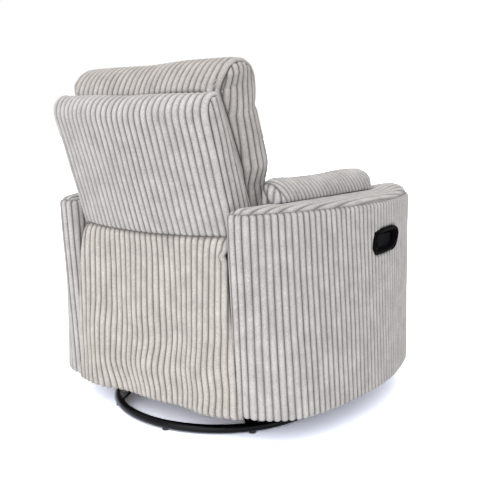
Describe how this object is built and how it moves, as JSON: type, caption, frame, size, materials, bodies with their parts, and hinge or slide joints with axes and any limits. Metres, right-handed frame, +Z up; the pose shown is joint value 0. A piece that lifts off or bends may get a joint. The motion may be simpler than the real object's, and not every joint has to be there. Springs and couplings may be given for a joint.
{
  "type": "swivel glider recliner",
  "caption": "Padded swivel glider chair with a reclining back, fold-out footrest, barrel arms with soft pads, a hanging cloth skirt and a floor ring.",
  "frame": {"origin": "on the floor under the middle of the chair's bounding box", "axes": "+Z up, the sitter faces -Y, +X is the sitter's left"},
  "size_m": [0.988, 1.033, 1.021],
  "materials": {
    "ribbed_cloth": "wide ribbed plush, pale grey",
    "skirt_cloth": "the same ribbed plush, loose and a little warmer",
    "webbing": "woven strap",
    "plywood": "raw",
    "steel": "zinc grey",
    "black_paint": "gloss black",
    "black_plastic": "satin"
  },
  "bodies": {
    "base": {"base_ring": "black_paint", "floor_glides": "black_plastic", "base_legs": "black_paint", "hub_plate": "steel", "swivel_race": "steel", "swivel_balls": "steel", "swivel_bolt": "steel"},
    "turntable": {"turntable_plate": "steel", "hanger_beams": "steel", "hanger_plate_left": "steel", "hanger_plate_right": "steel", "glide_upper_pins": "steel"},
    "rear_links": {"swing_link_rear_left": "steel", "swing_link_rear_right": "steel"},
    "front_links": {"swing_link_front_left": "steel", "swing_link_front_right": "steel"},
    "carriage": {"carriage_plate_left": "steel", "carriage_plate_right": "steel", "glide_lower_pins": "steel", "carriage_tubes": "steel", "seat_side_rail_left": "plywood", "seat_side_rail_right": "plywood", "seat_front_deck": "plywood", "seat_rear_rail": "plywood", "seat_webbing": "webbing", "seat_cushion": "ribbed_cloth", "arm_cover_left": "ribbed_cloth", "arm_cover_right": "ribbed_cloth", "arm_board_left": "plywood", "arm_board_right": "plywood", "arm_formers_left": "plywood", "arm_formers_right": "plywood", "rear_stretcher": "plywood", "arm_pad_left": "ribbed_cloth", "arm_pad_right": "ribbed_cloth", "pull_cup": "black_plastic", "pull_pin": "steel", "recline_brackets": "steel", "footrest_side_plate_left": "steel", "footrest_side_plate_right": "steel", "footrest_pivot_pins": "steel", "back_skirt": "skirt_cloth"},
    "pull": {"pull_lever": "black_plastic"},
    "back": {"back_brackets": "steel", "back_stile_left": "plywood", "back_stile_right": "plywood", "back_cross_rail": "plywood", "back_board": "plywood", "back_panel": "ribbed_cloth", "back_cushion": "ribbed_cloth"},
    "scissor_first": {"scissor_first": "steel"},
    "scissor_sliding": {"scissor_sliding": "steel", "footrest_cross_tube": "steel"},
    "scissor_carrying": {"scissor_carrying": "steel"},
    "scissor_half": {"scissor_half": "steel"},
    "footrest": {"footrest_board": "plywood", "footrest_brackets": "steel", "footrest_pad": "ribbed_cloth"}
  },
  "joints": [
    {"name": "swivel_turn", "type": "hinge", "parent": "base", "child": "turntable", "pos_m": [0, 0.06765, 0.08], "axis": [0, 0, 1], "continuous": true},
    {"name": "glide", "type": "hinge", "parent": "turntable", "child": "rear_links", "pos_m": [0, 0.20765, 0.3084], "axis": [1, 0, 0], "range_deg": [-12, 12]},
    {"name": "carriage_level", "type": "hinge", "parent": "rear_links", "child": "carriage", "pos_m": [0, 0.20765, 0.1384], "axis": [1, 0, 0], "range_deg": [-12, 12]},
    {"name": "glide_front", "type": "hinge", "parent": "turntable", "child": "front_links", "pos_m": [0, -0.07235, 0.3084], "axis": [1, 0, 0], "range_deg": [-12, 12]},
    {"name": "back_recline", "type": "hinge", "parent": "carriage", "child": "back", "pos_m": [0, 0.29265, 0.44], "axis": [-1, 0, 0], "range_deg": [0, 40], "deforming": ["back_skirt"]},
    {"name": "footrest_extend", "type": "hinge", "parent": "carriage", "child": "scissor_first", "pos_m": [0, -0.34935, 0.395], "axis": [-1, 0, 0], "range_deg": [0, 55]},
    {"name": "scissor_cross", "type": "hinge", "parent": "scissor_first", "child": "scissor_sliding", "pos_m": [0, -0.36758, 0.29159], "axis": [-1, 0, 0], "range_deg": [-110, 0]},
    {"name": "scissor_knee", "type": "hinge", "parent": "scissor_first", "child": "scissor_carrying", "pos_m": [0, -0.38582, 0.18819], "axis": [-1, 0, 0], "range_deg": [-110, 0]},
    {"name": "scissor_elbow", "type": "hinge", "parent": "scissor_sliding", "child": "scissor_half", "pos_m": [0, -0.38582, 0.395], "axis": [-1, 0, 0], "range_deg": [0, 110]},
    {"name": "footrest_tip", "type": "hinge", "parent": "scissor_carrying", "child": "footrest", "pos_m": [0, -0.42228, 0.395], "axis": [-1, 0, 0], "range_deg": [0, 145]},
    {"name": "pull_swing", "type": "hinge", "parent": "carriage", "child": "pull", "pos_m": [-0.46445, -0.06935, 0.52], "axis": [0, 0, -1], "range_deg": [0, 30], "stiffness_Nm_per_rad": 0.6, "springref_deg": -17.19}
  ],
  "couplings": [
    {"joint": "carriage_level", "follows": "glide", "ratio": -1},
    {"joint": "glide_front", "follows": "glide", "ratio": 1},
    {"joint": "scissor_cross", "follows": "footrest_extend", "ratio": -2},
    {"joint": "scissor_knee", "follows": "footrest_extend", "ratio": -2},
    {"joint": "scissor_elbow", "follows": "footrest_extend", "ratio": 2},
    {"joint": "footrest_tip", "follows": "footrest_extend", "ratio": 2.6364}
  ]
}
